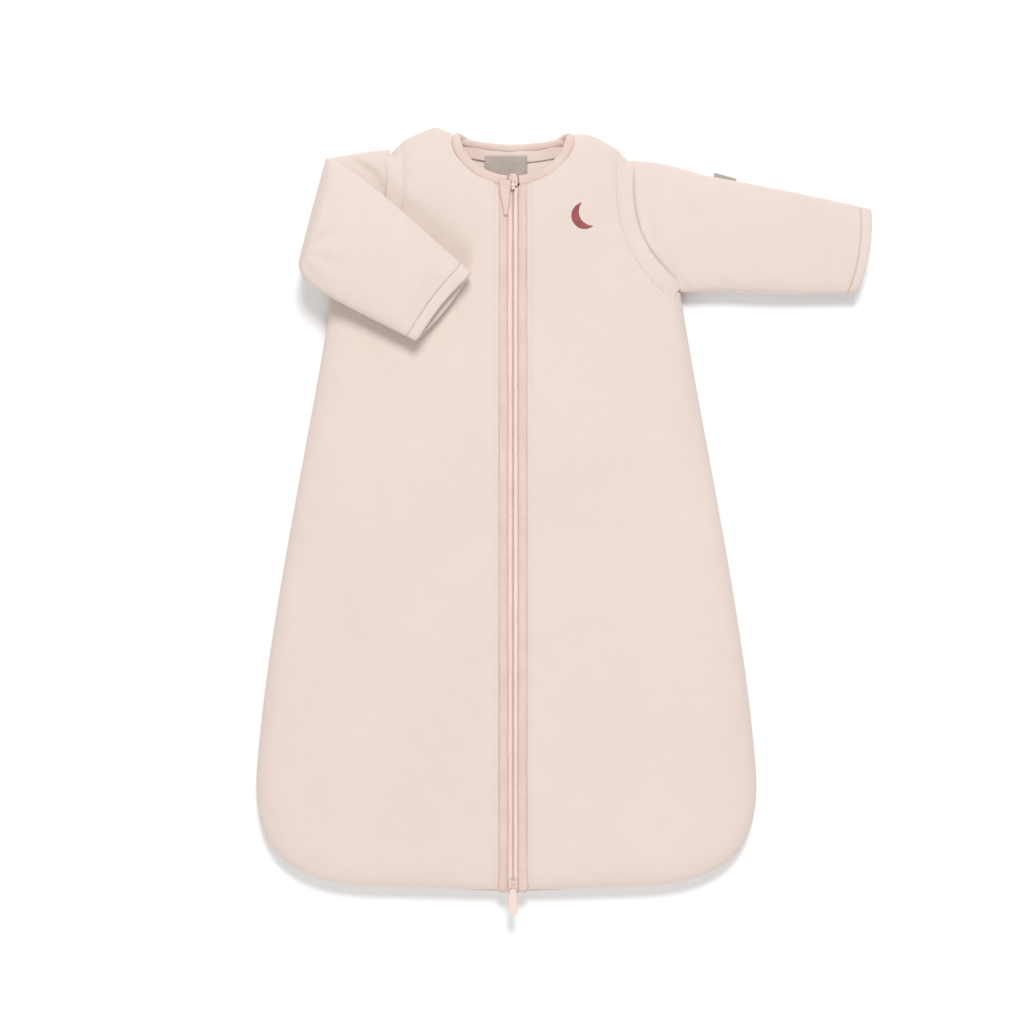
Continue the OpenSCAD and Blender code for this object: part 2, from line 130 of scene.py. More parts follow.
# ---------------- outline of the bag in plan
LIE_OVER = 6 * MM
WIDEST = (HALF_WIDTH, HEM + 100 * MM)
CORNER_END = (110 * MM, HEM + 3 * MM)
SHOULDER_TIP = (106 * MM, SHOULDER - 26 * MM)
ARMPIT = (160 * MM, 200 * MM)
NECK = (49 * MM, 41 * MM)            # half width and depth of the neck opening
BINDING = 9 * MM

corner_curve = bezier([CORNER_END, (0.2, HEM + 3 * MM), (HALF_WIDTH + 0.5 * MM, HEM + 35 * MM), WIDEST], 24)
side_curve = bezier([WIDEST, (HALF_WIDTH - 8 * MM, -0.115), (0.180, 0.070), ARMPIT], 40)
armhole_curve = bezier([ARMPIT, (0.110, 0.236), (0.098, 0.278), SHOULDER_TIP], 40)
shoulder_curve = np.array([(NECK[0] + BINDING, SHOULDER - 1 * MM), (0.070, 0.3452), (0.082, 0.340),
                           (0.095, 0.3325), SHOULDER_TIP])
hem_half = np.vstack([[(0, HEM)], corner_curve[:12]])
side_edge = np.vstack([corner_curve[11:-1], side_curve])
closed_edge = np.vstack([hem_half, corner_curve[12:-1], side_curve])


def neck_point(angle, grow=0.0):
    return np.stack([(NECK[0] + grow) * np.sin(angle), SHOULDER - (NECK[1] + grow) * np.cos(angle)], axis=-1)


def lay(p, side):
    """The bag lies a little over to the left of its zip, and its left shoulder is spread wider."""
    x, y = p[..., 0], p[..., 1]
    shift = LIE_OVER * smooth((x - 0.050) / 0.090) * smooth((0.300 - y) / 0.100)
    rise = np.zeros_like(x)
    if side < 0:
        shift = np.maximum(shift, LIE_OVER * smooth((x - 0.060) / 0.045) * smooth((0.370 - y) / 0.030))
        rise = 7.5 * MM * smooth((x - 0.052) / 0.022) * smooth((y - 0.280) / 0.050)
    return np.stack([side * x - shift, y + rise], axis=-1)


def seam_distance(p):
    """Distance to the seams that join front and back, for points of the right half before laying."""
    x, y = np.abs(p[..., 0]), p[..., 1]
    return np.minimum(line_distance(x, y, closed_edge), line_distance(x, y, shoulder_curve))


# ---------------- mesh helpers
def new_object(name, verts, faces, material, smooth_faces=True):
    mesh = bpy.data.meshes.new(name)
    mesh.from_pydata([tuple(v) for v in verts], [], [tuple(int(i) for i in f) for f in faces])
    mesh.validate()
    mesh.polygons.foreach_set("use_smooth", [smooth_faces] * len(mesh.polygons))
    mesh.materials.append(material)
    mesh.update()
    obj = bpy.data.objects.new(name, mesh)
    bpy.context.scene.collection.objects.link(obj)
    return obj


def grid_solid(name, plan, low, high, material):
    """Closed solid over a grid of plan points (rows, cols, 2) between two height grids."""
    rows, cols = low.shape
    count = rows * cols
    verts = np.vstack([np.dstack([plan, low]).reshape(-1, 3), np.dstack([plan, high]).reshape(-1, 3)])
    j, i = np.meshgrid(np.arange(rows - 1), np.arange(cols - 1), indexing="ij")
    a = (j * cols + i).ravel()
    under = np.stack([a, a + cols, a + cols + 1, a + 1], axis=1)
    over = np.stack([a, a + 1, a + cols + 1, a + cols], axis=1) + count
    rim = np.concatenate([np.arange(cols - 1), np.arange(rows - 1) * cols + cols - 1,
                          (rows - 1) * cols + np.arange(cols - 1, 0, -1), np.arange(rows - 1, 0, -1) * cols])
    nxt = np.roll(rim, -1)
    sides = np.stack([rim, nxt, nxt + count, rim + count], axis=1)
    faces = np.vstack([under, over, sides])
    first, second = plan[0, 1] - plan[0, 0], plan[1, 0] - plan[0, 0]
    if first[0] * second[1] - first[1] * second[0] < 0:
        faces = faces[:, ::-1]
    return new_object(name, verts, faces, material)


def tube_solid(name, outer, inner, material):
    """Closed wall between two stacks of rings (stations, points, 3), open at both ends of the tube."""
    m, n = outer.shape[:2]
    base = m * n
    verts = np.vstack([outer.reshape(-1, 3), inner.reshape(-1, 3)])
    j, k = np.meshgrid(np.arange(m - 1), np.arange(n), indexing="ij")
    a, b = (j * n + k).ravel(), (j * n + (k + 1) % n).ravel()
    wall = np.stack([a, b, b + n, a + n], axis=1)
    ends = []
    for e, turn in ((0, 1), ((m - 1) * n, -1)):
        p, q = e + np.arange(n), e + (np.arange(n) + 1) % n
        ends.append(np.stack([p, p + base, q + base, q], axis=1)[:, ::turn])
    faces = np.vstack([wall, wall[:, ::-1] + base, *ends])
    return new_object(name, verts, faces, material)


def fix_normals(obj):
    bm = bmesh.new()
    bm.from_mesh(obj.data)
    bmesh.ops.recalc_face_normals(bm, faces=bm.faces)
    bm.to_mesh(obj.data)
    bm.free()
    return obj


def sweep(name, path, width, height, material, sides=14, power=0.75):
    """A closed rounded strip along a path; width lies across it, height upwards."""
    path = np.array(path, float)
    n = len(path)
    tangent = np.gradient(path, axis=0)
    tangent /= np.linalg.norm(tangent, axis=1)[:, None]
    across = np.cross(tangent, (0, 0, 1))
    across /= np.linalg.norm(across, axis=1)[:, None]
    lift = np.cross(across, tangent)
    angle = np.linspace(0, 2 * math.pi, sides, endpoint=False)
    c = np.sign(np.cos(angle)) * np.abs(np.cos(angle)) ** power
    s = np.sign(np.sin(angle)) * np.abs(np.sin(angle)) ** power
    width = np.broadcast_to(width, n)[:, None, None]
    height = np.broadcast_to(height, n)[:, None, None]
    rings = (path[:, None] + across[:, None] * c[None, :, None] * width / 2
             + lift[:, None] * s[None, :, None] * height / 2)
    verts = np.vstack([rings.reshape(-1, 3), path[:1], path[-1:]])
    j, k = np.meshgrid(np.arange(n - 1), np.arange(sides), indexing="ij")
    a, b = (j * sides + k).ravel(), (j * sides + (k + 1) % sides).ravel()
    faces = [list(f) for f in np.stack([a, a + sides, b + sides, b], axis=1)]
    for k in range(sides):
        nxt = (k + 1) % sides
        faces.append([n * sides, k, nxt])
        faces.append([n * sides + 1, (n - 1) * sides + nxt, (n - 1) * sides + k])
    return fix_normals(new_object(name, verts, faces, material))


def join(name, objects):
    bpy.ops.object.select_all(action="DESELECT")
    for o in objects:
        o.select_set(True)
    bpy.context.view_layer.objects.active = objects[0]
    bpy.ops.object.join()
    objects[0].name = name
    objects[0].data.name = name
    return objects[0]


def stitches(name, line, length=2.6 * MM):
    """A row of short threads that lie along a line of points."""
    gap, radius = 1.1 * MM, 0.38 * MM
    total = np.sum(np.linalg.norm(np.diff(line, axis=0), axis=1))
    count = max(2, int(total / (length + gap)))
    points = at(line, np.linspace(0, 1, count + 1))
    verts, faces = [], []
    rings, sides = 5, 6
    for p, q in zip(points[:-1], points[1:]):
        along = (q - p) / np.linalg.norm(q - p)
        across = np.cross(along, (0, 0, 1))
        across /= np.linalg.norm(across)
        up = np.cross(across, along)
        middle, base = (p + q) / 2, len(verts)
        for r in range(rings):
            t = -1 + 2 * r / (rings - 1)
            fat = radius * math.sqrt(max(0.12, 1 - t * t))
            for k in range(sides):
                a = 2 * math.pi * k / sides
                round_it = across * fat * math.cos(a) + up * fat * math.sin(a)
                verts.append(middle + along * t * length / 2 + round_it)
        for r in range(rings - 1):
            for k in range(sides):
                a, b = base + r * sides + k, base + r * sides + (k + 1) % sides
                faces.append((a, b, b + sides, a + sides))
        faces.append(tuple(base + k for k in range(sides))[::-1])
        faces.append(tuple(base + (rings - 1) * sides + k for k in range(sides)))
    return fix_normals(new_object(name, verts, faces, THREAD))


# ---------------- materials
def srgb(r, g, b):
    def linear(c):
        c /= 255
        return c / 12.92 if c <= 0.04045 else ((c + 0.055) / 1.055) ** 2.4
    return (linear(r), linear(g), linear(b), 1)


WAVES_PER_METRE = 0.314              # scale of a wave texture that repeats once a metre


class Cloth:
    """Builds one node material; positions come from the piece's own coordinates in metres."""

    def __init__(self, name, roughness, sheen=0.0):
        self.material = bpy.data.materials.new(name)
        self.material.use_nodes = True
        self.nodes = self.material.node_tree.nodes
        self.links = self.material.node_tree.links
        self.shader = self.nodes["Principled BSDF"]
        self.feed(self.shader, Roughness=roughness, Specular_IOR_Level=0.25)
        self.feed(self.shader, Sheen_Weight=sheen, Sheen_Roughness=0.5)
        self.place = self.nodes.new("ShaderNodeTexCoord").outputs["Object"]

    def put(self, socket, value):
        if isinstance(value, bpy.types.NodeSocket):
            self.links.new(value, socket)
        else:
            socket.default_value = value

    def feed(self, node, **values):
        """Sets or links inputs of a node; an underscore stands for a space in an input's name."""
        for key, value in values.items():
            self.put(node.inputs[key.replace("_", " ")], value)
        return node

    def node(self, kind, **values):
        return self.feed(self.nodes.new("ShaderNode" + kind), **values)

    def noise(self, scale, detail=3.0):
        return self.node("TexNoise", Scale=scale, Detail=detail, Vector=self.place).outputs["Fac"]

    def wave(self, pitch, direction, distortion=1.5, turn=0.0):
        turned = self.node("Mapping", Rotation=(0, 0, turn), Vector=self.place).outputs["Vector"]
        node = self.node("TexWave", Scale=WAVES_PER_METRE / pitch, Distortion=distortion, Detail=2,
                         Detail_Scale=1.5, Vector=turned)
        node.bands_direction = direction
        return node.outputs["Fac"]

    def math(self, kind, a, b):
        node = self.node("Math")
        node.operation = kind
        for socket, value in zip(node.inputs, (a, b)):
            self.put(socket, value)
        return node.outputs["Value"]

    def ramp(self, fac, low, high, stops):
        node = self.node("ValToRGB", Fac=fac)
        for element, position, colour in zip(node.color_ramp.elements, (low, high), stops):
            element.position, element.color = position, colour
        return node.outputs["Color"]

    def mix(self, fac, a, b, kind="MIX"):
        node = self.node("Mix")
        node.data_type, node.blend_type = "RGBA", kind
        # the inputs that a name finds depend on the data type, so they are set after it
        return self.feed(node, Factor=fac, A=a, B=b).outputs["Result"]

    def colour(self, socket):
        self.feed(self.shader, Base_Color=socket)

    def bump(self, height, strength, distance):
        node = self.node("Bump", Strength=strength, Distance=distance, Height=height)
        self.feed(self.shader, Normal=node.outputs["Normal"])


def woven(name, light, dark, pitch, weave=0.35, mottle=0.6, roughness=0.93, sheen=0.25, fuzz=900, pill=0.0):
    """Soft cloth: two thread directions with painted shade where the weave sinks, fuzz, slight mottling and
    pale wear.
    """
    c = Cloth(name, roughness, sheen)
    threads = c.math("MULTIPLY", c.wave(pitch, "X"), c.wave(pitch * 1.1, "Y"))
    broad = c.noise(9, 2)
    middling = c.noise(55, 4)
    tint = c.ramp(c.math("ADD", c.math("MULTIPLY", broad, 0.6), c.math("MULTIPLY", middling, 0.4)),
                  0.36, 0.64, (dark, light))
    # painted shade: the threads are coloured a little darker where the weave sinks, following the bump
    threads_with_painted_shade = c.ramp(threads, 0.0, 0.9, (tuple(0.955 * v for v in light[:3]) + (1,), light))
    base = c.mix(mottle, threads_with_painted_shade, tint)
    speck = c.ramp(c.noise(fuzz, 2), 0.3, 0.7, ((0.965, 0.965, 0.965, 1), (1, 1, 1, 1)))
    c.colour(c.mix(1.0, base, speck, "MULTIPLY"))
    height = c.math("ADD", c.math("MULTIPLY", threads, weave), c.math("MULTIPLY", c.noise(fuzz, 4), 0.5))
    height = c.math("ADD", height, c.math("MULTIPLY", c.noise(120, 3), pill))
    c.bump(height, 0.5, 0.4 * MM)
    return c.material


def ribbed(name, light, dark, pitch, turn):
    """Rib-knit binding: close ribs in one direction."""
    c = Cloth(name, 0.9, 0.2)
    ribs = c.wave(pitch, "X", 0.6, turn)
    tint = c.ramp(c.noise(35, 3), 0.35, 0.65, (dark, light))
    shade = c.ramp(ribs, 0.0, 0.8, ((0.93, 0.92, 0.92, 1), (1, 1, 1, 1)))
    c.colour(c.mix(1.0, tint, shade, "MULTIPLY"))
    c.bump(c.math("ADD", ribs, c.math("MULTIPLY", c.noise(700, 3), 0.5)), 0.45, 0.35 * MM)
    return c.material


def plastic(name, colour, roughness, coat):
    """Moulded or painted plastic with faint wear."""
    c = Cloth(name, roughness)
    c.feed(c.shader, Specular_IOR_Level=0.5, Coat_Weight=coat)
    worn = tuple(min(1, 1.12 * v) for v in colour[:3]) + (1,)
    c.colour(c.ramp(c.noise(420, 3), 0.35, 0.75, (colour, worn)))
    c.bump(c.noise(1500, 3), 0.12, 0.1 * MM)
    return c.material


def satin_stitch(name, light, dark, pitch, turn):
    """Embroidery: parallel shiny threads."""
    c = Cloth(name, 0.55, 0.1)
    thread = c.wave(pitch, "X", 0.9, turn)
    tint = c.ramp(c.noise(160, 3), 0.3, 0.7, (dark, light))
    shade = c.ramp(thread, 0.0, 0.75, ((0.72, 0.70, 0.70, 1), (1, 1, 1, 1)))
    c.colour(c.mix(1.0, tint, shade, "MULTIPLY"))
    c.bump(thread, 0.7, 0.3 * MM)
    return c.material


SHELL = woven("shell_jersey", srgb(225, 209, 201), srgb(220, 203, 194), 0.85 * MM, pill=0.25)
LINING = woven("lining_cotton", srgb(240, 227, 214), srgb(233, 219, 205), 0.6 * MM, weave=0.5, sheen=0.1)
BIND = ribbed("binding_rib", srgb(226, 203, 193), srgb(220, 195, 185), 1.1 * MM, math.pi / 2)
NECK_BIND = ribbed("neck_binding_rib", srgb(226, 204, 195), srgb(220, 197, 187), 1.1 * MM, 0.6)
FACING = woven("neck_facing", srgb(234, 215, 207), srgb(228, 207, 198), 0.6 * MM, weave=0.5)
TAPE = woven("zip_tape", srgb(244, 224, 215), srgb(237, 215, 206), 0.5 * MM, weave=0.8, sheen=0.05)
COIL = plastic("zip_coil", srgb(240, 217, 207), 0.42, 0.2)
PAINTED = plastic("slider_paint", srgb(222, 196, 186), 0.3, 0.4)
PULL = plastic("pull_tab", srgb(226, 206, 197), 0.45, 0.15)
THREAD = woven("sewing_thread", srgb(228, 206, 197), srgb(221, 197, 188), 0.3 * MM, weave=0.6)
LABEL = satin_stitch("label_satin", srgb(212, 201, 192), srgb(202, 190, 181), 0.5 * MM, 0.0)
MOON = satin_stitch("moon_thread", srgb(181, 101, 103), srgb(160, 82, 86), 0.7 * MM, 0.75)


# ---------------- padded heights
SEAM_Z = 9.3 * MM                    # height of the seam that joins front and back
PUFF = 38 * MM                       # how far from it the padding takes to reach its full height


def puff(t, power=2.2):
    t = np.clip(t, 0, 1)
    return (1 - (1 - t) ** power) ** (1 / power)


def front_under(d):
    return SEAM_Z + 0.2 * MM + (FRONT_LOW - SEAM_Z) * smooth(d / 0.045)


def front_over(d):
    return SEAM_Z + 1.2 * MM + (FRONT_TOP - SEAM_Z - 1.2 * MM) * puff(d / PUFF)


def spread(n, start=1.0, end=1.0):
    """Positions from 0 to 1, packed towards an end by a power over 1."""
    t = np.linspace(0, 1, n + 1)
    a, b = t**start, 1 - (1 - t) ** end
    return a * (1 - t) + b * t


def place(obj, body, slot_name, *nodes):
    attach(obj, body)
    if nodes:
        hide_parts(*nodes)
    return obj


def blend_flap(obj, side, slot_name, *nodes):
    """Bakes a piece's placement into its mesh and hides the CAD nodes that it stands for."""
    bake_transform(obj)
    if nodes:
        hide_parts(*nodes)
    return obj


def side_name(side):
    return "right" if side > 0 else "left"


# ---------------- back
def neck_back(x):
    return SHOULDER - 2 * MM - 9 * MM * (1 - (x / (NECK[0] + BINDING)) ** 2)


armside = np.vstack([side_edge, armhole_curve[1:]])


def back_plan(cols, rows):
    half_top = np.vstack([[(x, neck_back(x)) for x in np.linspace(0, 0.055, 12)], shoulder_curve])
    mirror = lambda line: np.vstack([(line * (-1, 1))[::-1], line[1:]])
    u, v = spread(cols, 1.5, 1.5), spread(rows, 1.4, 1.2)
    plan = patch(at(mirror(hem_half), u), at(mirror(half_top), u), at(armside * (-1, 1), v), at(armside, v))
    d = seam_distance(plan)
    right = lay(plan, 1)
    left = lay(plan * (-1, 1), -1)
    return np.where(plan[..., :1] >= 0, right, left), d


def make_back():
    plan, d = back_plan(96, 130)
    x, y = plan[..., 0], plan[..., 1]
    e = smooth(d / 0.008)
    top = SEAM_Z - 0.4 * MM + (LINING_TOP - SEAM_Z + 0.4 * MM) * smooth(d / 0.015)
    top = top - 0.45 * MM * (1 + ripple(x, y, 0.09, 11)) * smooth(d / 0.03)
    mid = top - (0.1 + 1.5 * e) * MM
    low = (SEAM_Z - 1.6 * MM) * (1 - puff(d / 0.024)) + 0.25 * MM * (1 + ripple(x, y, 0.12, 12))
    lining = grid_solid("back_lining_cloth", plan, mid, top, LINING)
    place(lining, "root", "lining", "back_lining", "back_wadding")
    shell = grid_solid("back_shell_cloth", plan, np.minimum(low, mid - 0.5 * MM), mid - 0.1 * MM, SHELL)
    place(shell, "root", "shell", "back_shell")


# ---------------- front halves
def front_plan(side, cols, rows):
    start = math.asin(SEWN_EDGE / (NECK[0] + BINDING - 1.5 * MM))
    angles = np.linspace(start, math.radians(88), 16)
    neck = neck_point(angles, BINDING - 1.5 * MM)
    inner = np.vstack([[(SEWN_EDGE, HEM)], neck[:1]])
    hem = np.vstack([[(SEWN_EDGE, HEM)], hem_half[1:]])
    u, v = spread(cols, 1.1, 1.7), spread(rows, 1.4, 1.2)
    plan = patch(at(hem, u), at(np.vstack([neck, shoulder_curve]), u), at(inner, v), at(armside, v))
    return plan, lay(plan, side), seam_distance(plan)


def front_relief(plan, d, side):
    """Soft hills and seam puckers on the outer side of a front half."""
    x, y = plan[..., 0], plan[..., 1]
    inside = smooth(d / 0.03)
    height = (0.9 * ripple(side * x, y, 0.19, 3) + 0.45 * ripple(side * x, y, 0.07, 5)) * MM * inside
    # the placket seam draws the cloth down beside the binding
    height -= 1.3 * MM * groove(x - PLACKET, 0.6 * MM, 2.6 * MM)
    height += 0.5 * MM * groove(x - PLACKET, 9 * MM, 6 * MM) * inside
    # stitch line of the armhole facing, with short puckers across it
    arm = line_distance(x, y, armhole_curve)
    along = np.arctan2(y - 0.262, x - 0.175)
    height -= 0.9 * MM * groove(arm, 9.5 * MM, 2.4 * MM)
    height += 0.22 * MM * np.sin(along * 46) * np.exp(-((arm - 10 * MM) / (6 * MM)) ** 2)
    height += 0.7 * MM * ripple(side * x, y, 0.034, 8) * np.exp(-((arm - 14 * MM) / (9 * MM)) ** 2)
    # neck seam
    neck = np.abs(np.hypot(x / (NECK[0] + BINDING), (y - SHOULDER) / (NECK[1] + BINDING)) - 1) * 0.05
    height -= 0.9 * MM * np.exp(-(neck / (2.2 * MM)) ** 2) * (y > 0.25)
    # the side and hem seams pull the margin into small ripples
    height += 0.35 * MM * ripple(side * x, y, 0.028, 21) * np.exp(-((d - 14 * MM) / (10 * MM)) ** 2)
    return height


def front_surface(plan, side, armhole_seam=True):
    """Height of the outer cloth of a front half over plan points of the right half."""
    d = seam_distance(plan)
    height = front_over(d) + front_relief(plan, d, side)
    if armhole_seam:
        arm = line_distance(plan[..., 0], plan[..., 1], armhole_curve)
        height -= 3.2 * MM * groove(arm, 0, 2.6 * MM) * smooth(d / 0.02)
    return height


def make_front(side):
    name = side_name(side)
    plan, laid, d = front_plan(side, 84, 170)
    e = smooth(d / 0.008)
    under = front_under(d) + 0.3 * MM * ripple(side * plan[..., 0], plan[..., 1], 0.1, 31) * smooth(d / 0.03)
    mid = under + (0.1 + 1.4 * e) * MM
    over = np.maximum(front_surface(plan, side), mid + 0.6 * MM)
    shell = grid_solid("front_%s_cloth" % name, laid, mid + 0.1 * MM, over, SHELL)
    blend_flap(shell, side, "shell", "front_%s_shell" % name, "front_%s_wadding" % name,
               "flap_%s_shell" % name, "flap_%s_wadding" % name)
    lining = grid_solid("front_%s_lining_cloth" % name, laid, under, mid, LINING)
    blend_flap(lining, side, "lining", "front_%s_lining" % name, "flap_%s_lining" % name)


# ---------------- bindings
PLACKET_DROP = 22 * MM               # length over which the placket sinks towards the hem


def make_bindings(side):
    name = side_name(side)
    y = np.linspace(HEM + 0.6 * MM, SHOULDER - NECK[1] - 14 * MM, 260)
    middle = (SLOT + PLACKET) / 2
    wobble = 0.35 * MM * ripple(y, y * 0, 0.16, 41 + side)
    top = BINDING_TOP - 1.5 * MM + 0.25 * MM * ripple(y, y * 0, 0.05, 51 + side)
    droop = 4.0 * MM * smooth((HEM + PLACKET_DROP - y) / PLACKET_DROP)
    path = np.stack([middle + wobble, y, top - 3.7 * MM - droop], axis=1)
    corner = neck_point(math.radians(24), BINDING / 2 - 0.3 * MM)
    turn = bezier([path[-1, :2], path[-1, :2] + (0, 7 * MM), corner - (7 * MM, 1.6 * MM), corner], 16)[1:]
    path = np.vstack([path, np.column_stack([turn, np.full(len(turn), path[-1, 2])])]) * (side, 1, 1)
    width = (9.5 + 0.35 * ripple(path[:, 1], path[:, 1] * 0, 0.03, 61 + side)) * MM
    roll = sweep("placket_%s_roll" % name, path, width, 7.2 * MM, BIND, sides=20, power=0.72)
    blend_flap(roll, side, "binding", "placket_%s" % name, "placket_%s_foot" % name)
    # stitches that hold the binding down
    ys = np.linspace(HEM + 4 * MM, SHOULDER - NECK[1] - 12 * MM, 240)
    drop = 4.5 * MM * smooth((HEM + PLACKET_DROP - ys) / PLACKET_DROP)
    xs = np.full_like(ys, side * (PLACKET - 1.4 * MM))
    line = np.stack([xs, ys, BINDING_TOP - 1.9 * MM - drop], axis=1)
    blend_flap(stitches("placket_%s_stitches" % name, line), side, "binding")

    # neck binding: from the zip round the front neckline and over the shoulder
    angles = np.linspace(math.asin((SLOT + 0.6 * MM) / NECK[0]), math.radians(79), 70)
    flat = neck_point(angles, BINDING / 2 - 0.3 * MM)
    z = np.minimum(BINDING_TOP - 3.6 * MM, front_over(seam_distance(flat)) - 1.4 * MM)
    # over the shoulder and down into the binding of the back neck
    first = np.append(flat[-1], z[-1])
    x = 0.042
    last = (x, neck_back(x) - 3.2 * MM, LINING_TOP - 3.4 * MM)
    rise = first + (0.8 * MM, 5 * MM, -1 * MM)
    over = bezier([first, rise, (0.0515, SHOULDER - 2.4 * MM, 9 * MM), last], 26)[1:]
    path = np.vstack([np.column_stack([flat, z]), over])
    path[:, :2] = lay(path[:, :2], side)
    thin = smooth((path[:, 1] - 0.335) / 0.012)
    roll = sweep("neck_binding_%s_roll" % name, path, (9.2 - 2.2 * thin) * MM, (6.6 - 0.8 * thin) * MM,
                 NECK_BIND, sides=20)
    blend_flap(roll, side, "binding", "neck_binding_%s" % name, "neck_binding_%s_shoulder" % name)
    stitched = angles[3:-6]
    outer = lay(neck_point(stitched, BINDING - 1.6 * MM), side)
    zs = front_over(seam_distance(neck_point(stitched, BINDING))) + 0.5 * MM
    zs = np.minimum(BINDING_TOP - 1.25 * MM, zs)
    blend_flap(stitches("neck_%s_stitches" % name, np.column_stack([outer, zs])), side, "binding")


def make_back_neck():
    x = np.linspace(-0.0535, 0.0535, 70)
    y = neck_back(x) - 3.2 * MM
    path = np.column_stack([x, y, np.full_like(x, LINING_TOP - 3.4 * MM)])
    path[:, 2] += 1.2 * MM * smooth((np.abs(x) - 0.035) / 0.02)
    roll = sweep("neck_binding_back_roll", path, 8.0 * MM, 9.4 * MM, NECK_BIND, sides=22, power=0.7)
    place(roll, "root", "binding", "neck_binding_back")
    xs = np.linspace(-0.046, 0.046, 40)
    rows = [neck_back(xs) - drop for drop in np.linspace(17, 5, 8) * MM]
    plan = np.stack([np.stack([xs, r], axis=1) for r in rows])
    low = np.full(plan.shape[:2], LINING_TOP - 1.9 * MM)
    high = low + (2.3 + 0.35 * ripple(plan[..., 0], plan[..., 1], 0.02, 71)) * MM
    facing = place(grid_solid("neck_facing", plan, low, high, FACING), "root", "binding")
    line = np.column_stack([xs, neck_back(xs) - 16 * MM, np.full_like(xs, LINING_TOP + 0.7 * MM)])
    place(stitches("neck_facing_stitches", line), "root", "binding")


# ---------------- zip
def box_verts(cx, cy, cz, sx, sy, sz):
    """A box that narrows towards its upper and lower faces."""
    out, narrow = [], 0.75
    for k, f in ((-1, narrow), (0, 1), (1, narrow)):
        for a, b in ((-1, -1), (1, -1), (1, 1), (-1, 1)):
            out.append((cx + a * f * sx / 2, cy + b * f * sy / 2, cz + k * sz / 2))
    faces = [(3, 2, 1, 0), (8, 9, 10, 11)]
    for r in (0, 4):
        faces += [(r + i, r + (i + 1) % 4, r + 4 + (i + 1) % 4, r + 4 + i) for i in range(4)]
    return out, faces


def make_zip(side):
    name = side_name(side)
    low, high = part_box("zip_side_%s" % name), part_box("zip_foot_%s" % name)
    top, bottom = low[1].y, high[0].y
    pitch, z = 1.5 * MM, (low[0].z + low[1].z) / 2 + 0.2 * MM
    verts, faces = [], []
    for i in range(int((top - bottom) / pitch)):
        y = bottom + (i + 0.5 + 0.25 * side) * pitch
        v, f = box_verts(side * 1.3 * MM, y, z, 2.1 * MM, 0.8 * MM, 1.9 * MM)
        faces += [[n + len(verts) for n in face] for face in f]
        verts += v
    coil = new_object("zip_coil_%s" % name, verts, faces, COIL)
    blend_flap(coil, side, "zip_tape")
    y = np.linspace(bottom, top, 160)
    plan = np.stack(np.meshgrid(np.array([0.25, 2.4, 4.6, 8.0, 10.0, 12.0]) * MM, y), axis=-1)
    plan[:, 2:, 0] += smooth((plan[:, 2:, 1] - HEM) / 0.06) * (plan[:, 2:, 0] - 3 * MM) * 0.95
    plan[..., 0] *= side
    lift = 0.12 * MM * ripple(plan[..., 0], plan[..., 1], 0.04, 81)
    under, over = TAPE_TOP - 0.8 * MM + lift, TAPE_TOP - 0.2 * MM + lift
    tape = grid_solid("zip_tape_%s" % name, plan, under, over, TAPE)
    blend_flap(tape, side, "zip_tape", "zip_side_%s" % name, "zip_foot_%s" % name)


def dress(node, material, width=0.25 * MM):
    """Gives a CAD node that stays visible its material and softened edges."""
    obj = frame["nodes"][node]
    obj.data.materials.clear()
    obj.data.materials.append(material)
    mod = obj.modifiers.new("soft_edges", "BEVEL")
    mod.width, mod.segments, mod.limit_method, mod.angle_limit = width, 3, "ANGLE", math.radians(35)


def make_pull(name, node, body, width, thick):
    """A moulded tab that widens to a round end, with a ridge for the fingers."""
    low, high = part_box(node)
    start, stop = high.y - 3 * MM, low.y
    rows, cols = 34, 14
    t = np.linspace(0, 1, rows)[:, None]
    across = np.linspace(-1, 1, cols)[None, :]
    round_end = np.sqrt(np.clip(1 - ((t - 0.88) / 0.125).clip(0, 1) ** 2, 0.02, 1))
    half = width / 2 * (0.62 + 0.38 * smooth(t / 0.3)) * round_end
    plan = np.stack([across * half, start + (stop - start) * t + 0 * across], axis=-1)
    z = (low.z + high.z) / 2
    crown = np.sqrt(np.clip(1 - across**4, 0, 1)) * (1 + 0 * t)
    grip = t - 0.68
    ridge = 0.25 * MM * np.cos(grip * 60) * smooth((0.3 - np.abs(grip)) / 0.1) * (np.abs(across) < 0.6)
    body_z = thick / 2 * (0.35 + 0.65 * crown)
    tab = grid_solid(name, plan, z - body_z, z + body_z + ridge * crown, PULL)
    pin_y = high.y - 0.6 * MM
    neck = sweep(name + "_neck", [(0, pin_y, z), (0, high.y - 2 * MM, z), (0, high.y - 4 * MM, z)],
                 1.7 * MM, 1.2 * MM, PULL, sides=12)
    along = [(x * MM, pin_y, z) for x in (-1.9, 0, 1.9)]
    pin = sweep(name + "_pin", along, 1.1 * MM, 1.1 * MM, PAINTED, power=1)
    pull = join(name, [tab, neck, pin])
    place(pull, body, "pull" if node == "bottom_pull" else "slider", node)


def make_zip_hardware():
    for node in ("top_slider", "bottom_slider"):
        dress(node, PAINTED)
    dress("zip_bottom_stop", COIL, 0.4 * MM)
    make_pull("bottom_pull_tab", "bottom_pull", "bottom_pull_body", 8.4 * MM, 1.9 * MM)
    make_pull("top_pull_tab", "top_pull", "top_pull_body", 3.6 * MM, 1.3 * MM)


